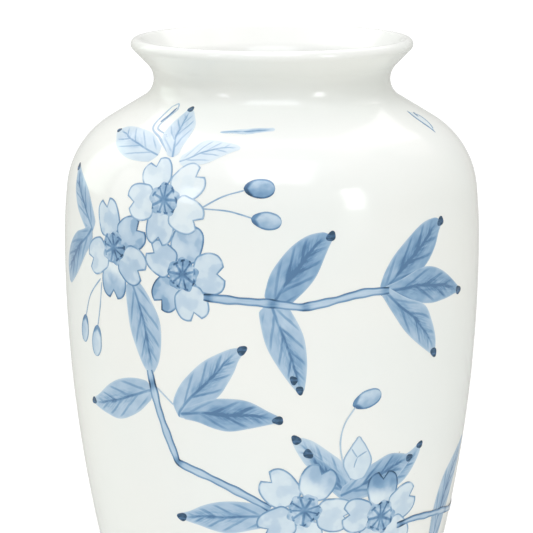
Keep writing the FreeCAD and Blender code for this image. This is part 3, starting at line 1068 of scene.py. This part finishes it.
# ---------- hanging branch
leaf(
    "leaf_hanging_left", (-34.5, -55.2), (-61.4, -63.1),
    ((0.06, 2), (0.22, 5.9), (0.38, 7.6), (0.59, 8.1), (0.8, 5.2)),
    ((0.04, 6.2), (0.22, 8.3), (0.42, 8.2), (0.65, 6), (0.84, 2.8)),
    0.44, dot=0.85,
)
leaf(
    "leaf_hanging_up", (-26.8, -62.8), (-7.8, -33),
    ((0, 2.6), (0.05, 5.2), (0.16, 7.3), (0.32, 8.8), (0.52, 8.4), (0.72, 6.8), (0.9, 4.1)),
    ((0, 2.8), (0.24, 5), (0.48, 6.4), (0.64, 5.4), (0.77, 3.9), (0.88, 2)),
    0.46,
)
leaf(
    "leaf_hanging_right", (-26.2, -62.2), (2.2, -62.4),
    ((0, 2.4), (0.2, 5.7), (0.34, 7.9), (0.5, 8.6), (0.69, 7.4), (0.88, 3.5)),
    ((0, 1.4), (0.17, 2.3), (0.34, 4.5), (0.5, 5.4), (0.69, 4.2), (0.89, 2.2)),
    0.59, dots=((1.6, -62.8),), lift=0.065,
)
branch(
    "branch_hanging",
    (
        (-35.5, -44.5), (-34.6, -51.2), (-33.2, -60.5), (-30.9, -71), (-28.6, -80.2),
        (-28.2, -82), (-26.6, -83.6), (-18, -88.4), (-9, -94.5), (-0.5, -101),
    ),
    3.4, 0.32, blots=((0.07, 0.95), (0.475, 0.9), (0.99, 0.5)),
)
stem("stem_hanging_right", ((-33.4, -51.4), (-30.9, -54.6), (-28, -58.4)), tone=0.28)

# ---------- lower spray
leaf(
    "leaf_low_back_left", (25.5, -96.5), (5.9, -70.9),
    ((0, 3), (0.3, 4), (0.55, 4.8), (0.7, 5), (0.85, 3.4)),
    ((0, 5), (0.38, 5.9), (0.55, 5.7), (0.78, 5), (0.92, 3.2)),
    0.35, dots=((6.7, -71.2),),
)
leaf(
    "leaf_low_front_left", (23.5, -97), (10.4, -77.6),
    ((0, 3), (0.25, 4.2), (0.55, 4.6), (0.8, 3)),
    ((0, 2), (0.3, 3.6), (0.6, 2.8), (0.85, 1.6)),
    0.54, dots=((10.2, -77.4),), lift=0.07,
)
leaf(
    "leaf_low_right_upper", (24, -96.5), (48, -78.6),
    ((0, 3), (0.3, 3.4), (0.6, 2.6), (0.8, 0.8)),
    ((0, 3), (0.4, 8), (0.6, 9.4), (0.75, 8), (0.9, 4.6)),
    0.46, dot=0.85,
)
leaf(
    "leaf_low_right", (20.5, -96.5), (44, -83.4),
    ((0, 3), (0.2, 4.8), (0.45, 6.8), (0.7, 7.2), (0.88, 4.2)),
    ((0, 3), (0.3, 5.4), (0.64, 6.4), (0.85, 3.6)),
    0.54, lift=0.09, dot=0.85,
)
outlined_leaf(
    "leaf_low_middle", (24.5, -90), (25.2, -71.2),
    ((0.1, 3.3), (0.32, 5.8), (0.57, 5.4), (0.8, 3), (0.94, 1.2)),
    ((0.1, 5.2), (0.36, 7.1), (0.57, 6.4), (0.8, 3.6), (0.94, 1.3)),
    0.2, lift=0.11,
)
leaf(
    "leaf_right_edge", (64, -127), (80, -83),
    ((0.08, 6.5), (0.24, 11), (0.44, 13.6), (0.6, 12.8), (0.82, 7.4)),
    ((0.1, 5.5), (0.3, 4), (0.55, 2.5), (0.8, 2)),
    0.5, dots=(),
)
leaf(
    "leaf_low_left", (-1, -104.5), (-29.3, -106.4),
    ((0, 4), (0.15, 5.6), (0.38, 6.9), (0.6, 6), (0.78, 3.8)),
    ((0, 4.4), (0.08, 5.4), (0.29, 6.9), (0.52, 6.6), (0.7, 5.1), (0.87, 2.2)),
    0.45, dots=((-28.2, -106.8),),
)
branch(
    "branch_low_right",
    (
        (42, -113.2), (48.9, -111.8), (56.5, -112.2), (63.4, -112.8), (71.2, -114),
        (77.4, -115.2), (87, -116), (97, -111.5), (106, -103),
    ),
    2.8, 0.32, blots=((0.03, 0.9), (0.45, 0.6), (0.75, 0.6)), lift=0.28,
)
blossom(
    "blossom_low_left", (9.6, -102), 0.13,
    (137, 22.4, 15.4, 0.22), (67, 20.8, 15, 0.16, 0.24), (-12, 21.1, 15, 0.21),
    (-84, 20.5, 15, 0.22), (208, 20.4, 15, 0.26),
    hub=7.3,
)
blossom(
    "blossom_low_right", (34.9, -107.8), 0.19,
    (92, 20.4, 14.5, 0.18, 0.44), (25, 19.8, 15, 0.22), (-43, 20, 15, 0.2),
    (-112, 20.5, 15, 0.22), (171, 18.6, 15, 0.25),
    hub=7.3,
)
stem(
    "stem_bud_tall", ((20.5, -82), (19.5, -73.5), (20.5, -65.5), (23.5, -58.5)),
    tone=0.28, lift=0.13,
)
bud("bud_tall", (22.7, -57.8), (31.4, -53.4), 3.9, 0.36)

# ---------- right side and back
# The two sides of every leaf here.
SIDE_LEAF = (
    ((0.12, 3.6), (0.3, 6), (0.52, 7), (0.76, 5)),
    ((0.12, 3), (0.34, 5.4), (0.58, 5.8), (0.8, 3.6)),
)
leaf("leaf_side_up", (104.5, -104.5), (119, -78), *SIDE_LEAF, 0.5)
leaf("leaf_side_out", (104.5, -103.5), (132, -101), *SIDE_LEAF, 0.52, lift=0.065)
leaf("leaf_side_down", (104, -102), (116, -127), *SIDE_LEAF, 0.48, lift=0.085)
leaf("leaf_back_up", (151, 20.5), (138, 42), *SIDE_LEAF, 0.48)
leaf("leaf_back_out", (152, 22), (131, 9), *SIDE_LEAF, 0.5, lift=0.065)
leaf("leaf_back_middle", (184, 0), (192, -31), *SIDE_LEAF, 0.52)
leaf("leaf_back_end", (206, 1.5), (221, 23), *SIDE_LEAF, 0.48)
branch(
    "branch_back",
    ((150, 22), (160, 17), (170, 6), (183, -1), (196, -3), (207, 3)),
    3.2, 0.28, blots=((0.02, 0.8), (0.42, 0.8), (0.98, 0.6)),
)
blossom(
    "blossom_back", (176, 8), 0.13,
    (100, 19.5, 15, 0.12), (28, 19, 15, 0.16), (-44, 19.5, 15, 0.14, 0.2),
    (-116, 19, 15, 0.26), (172, 19.5, 15, 0.14),
)
stem("stem_bud_back", ((164.5, 11), (162.5, -3), (158, -17), (156, -28)))
bud("bud_back", (156, -27), (153.5, -38.5), 3.8, 0.3)


# ---------- bare clay and the foot
def clay(name, light, dark, roughness):
    """Fired porcelain without glaze: matt, fine-grained and a little creamy."""
    material, tree, shader = new_material(name)
    grain = noise(tree, 900.0, 4.0)
    tone = ramp(tree, noise(tree, 30.0, 3.0) * 0.7 + grain * 0.3, ((0.3, dark), (0.7, light)))
    put(shader, Base_Color=tone, Roughness=roughness)
    add_bump(tree, shader, grain, 0.05 * MM)
    return material


BISCUIT = clay("bare_porcelain", linear(236, 230, 218), linear(222, 213, 198), 0.75)
SLIP = clay("joining_slip", linear(228, 222, 210), linear(214, 205, 190), 0.85)
for name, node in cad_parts.items():
    if name in ("outer_glaze", "inner_glaze"):
        continue
    if name == "recess_glaze":
        look = PORCELAIN
    elif name.endswith("_slip"):
        look = SLIP
    else:
        look = BISCUIT
    if node.material_slots:
        for place in node.material_slots:
            place.material = look
    else:
        node.data.materials.append(look)

# ---------- studio
STAGE_SEGMENTS = 96
# A profile that starts nearer to the axis than this, in metres, is closed there.
CLOSED_BELOW = 0.01


def turned_stage(name, profile, material):
    """A surface turned round the axis from (radius, height) in metres."""
    points, faces = [], []
    for radius, height in profile:
        for i in range(STAGE_SEGMENTS):
            turn = 2 * math.pi * i / STAGE_SEGMENTS
            points.append((radius * math.sin(turn), -radius * math.cos(turn), height))
    for k in range(len(profile) - 1):
        for i in range(STAGE_SEGMENTS):
            j = (i + 1) % STAGE_SEGMENTS
            a, b = k * STAGE_SEGMENTS, (k + 1) * STAGE_SEGMENTS
            faces.append((b + i, b + j, a + j, a + i))
    if profile[0][0] < CLOSED_BELOW:
        faces.append(tuple(range(STAGE_SEGMENTS)))
    mesh = new_mesh(name, points, faces, material)
    mesh.polygons.foreach_set("use_smooth", [True] * len(mesh.polygons))
    piece = new_object(name, mesh)
    return piece


# The floor and the white wall round it, in metres, and how bright the wall is.
FLOOR_REACH = 0.6
STUDIO_REACH = 3.4
STUDIO_HEIGHT = 2.6
COVE_WIDTH = 0.4
COVE_HEIGHT = 0.3
GLOW = 1.05

paper, tree, shader = new_material("pale_paper")
paper_tones = ((0.0, linear(248, 248, 247)), (1.0, linear(252, 252, 251)))
put(shader, Base_Color=ramp(tree, noise(tree, 3.0), paper_tones), Roughness=0.9)
floor = turned_stage("floor", ((0.002, 0.0), (0.3, 0.0), (FLOOR_REACH, 0.0)), paper)
floor.visible_glossy = False

glow, tree, shader = new_material("white_air")
put(shader, Base_Color=(0.0, 0.0, 0.0, 1.0), Emission_Color=(1.0, 1.0, 1.0, 1.0))
put(shader, Emission_Strength=GLOW)
wall_reach = STUDIO_REACH + COVE_WIDTH
wall_profile = (
    (FLOOR_REACH, 0.0), (STUDIO_REACH, 0.0), (wall_reach, COVE_HEIGHT), (wall_reach, STUDIO_HEIGHT)
)
backdrop = turned_stage("backdrop", wall_profile, glow)
backdrop.visible_diffuse = False
backdrop.visible_glossy = False
backdrop.visible_shadow = False


# What the lights are aimed at, in metres.
LIT_PLACE = Vector((0.0, 0.0, 0.15))


def soft_box(name, around, up, distance, width, height, power, colour=(1.0, 1.0, 1.0)):
    """A soft light: degrees right of the camera, degrees up, three sizes in metres, and watts."""
    turn, lift = math.radians(around), math.radians(up)
    flat = math.cos(lift)
    way = Vector((math.sin(turn) * flat, -math.cos(turn) * flat, math.sin(lift)))
    data = bpy.data.lights.new(name, "AREA")
    data.shape = "RECTANGLE"
    data.size = width
    data.size_y = height
    data.energy = power
    data.color = colour
    light = new_object(name, data)
    light.location = LIT_PLACE + way * distance
    light.rotation_euler = (-way).to_track_quat("-Z", "Y").to_euler()


soft_box("window_right", 46, 15.8, 1.5, 0.27, 0.6, 2.8, (0.96, 0.98, 1.0))
soft_box("window_right_edge", 46, 12.5, 1.5, 0.46, 0.86, 0.5)
soft_box("window_left", -47.5, 20, 1.5, 0.24, 0.46, 1.5, (0.92, 0.92, 1.0))
soft_box("front_high", 0, 55, 1.8, 1.2, 1.0, 10.3, (0.9, 0.94, 1.0))
soft_box("overhead", -25, 76, 1.2, 1.9, 1.5, 3.7, (0.88, 0.8, 1.0))
soft_box("overhead_back", 180, 65, 1.3, 1.8, 1.2, 4.8, (1.0, 0.95, 0.95))
soft_box("overhead_strip", 180, 58, 1.3, 2.8, 0.8, 3.2, (1.0, 0.96, 0.97))
soft_box("side_left", -85, 15, 1.6, 0.8, 1.0, 2.55, (0.99, 1.0, 0.96))
soft_box("rim_left", -120, 20, 1.6, 0.8, 1.0, 2.65, (0.85, 1.0, 0.9))

AIR_COLOUR = (1.0, 1.0, 0.965, 1.0)
AIR_STRENGTH = 0.565
world = bpy.data.worlds.new("studio_air")
world.use_nodes = True
put(world.node_tree.nodes["Background"], Color=AIR_COLOUR, Strength=AIR_STRENGTH)
bpy.context.scene.world = world
bpy.context.scene.view_settings.view_transform = "Standard"

CAMERA_PLACE = (-2.3, -1600.0, 412.5)
CAMERA_AIM = (-2.3, 0.0, 152.0)
SENSOR_WIDTH = 36.0
LENS = 257.0
NEAREST = 0.05
camera_data = bpy.data.cameras.new("camera")
camera_data.sensor_width = SENSOR_WIDTH
camera_data.lens = LENS
camera_data.clip_start = NEAREST
camera = new_object("camera", camera_data)
camera.location = Vector(CAMERA_PLACE) * MM
towards = (Vector(CAMERA_AIM) - Vector(CAMERA_PLACE)).to_track_quat("-Z", "Y")
camera.rotation_euler = towards.to_euler()
bpy.context.scene.camera = camera

bpy.context.view_layer.update()
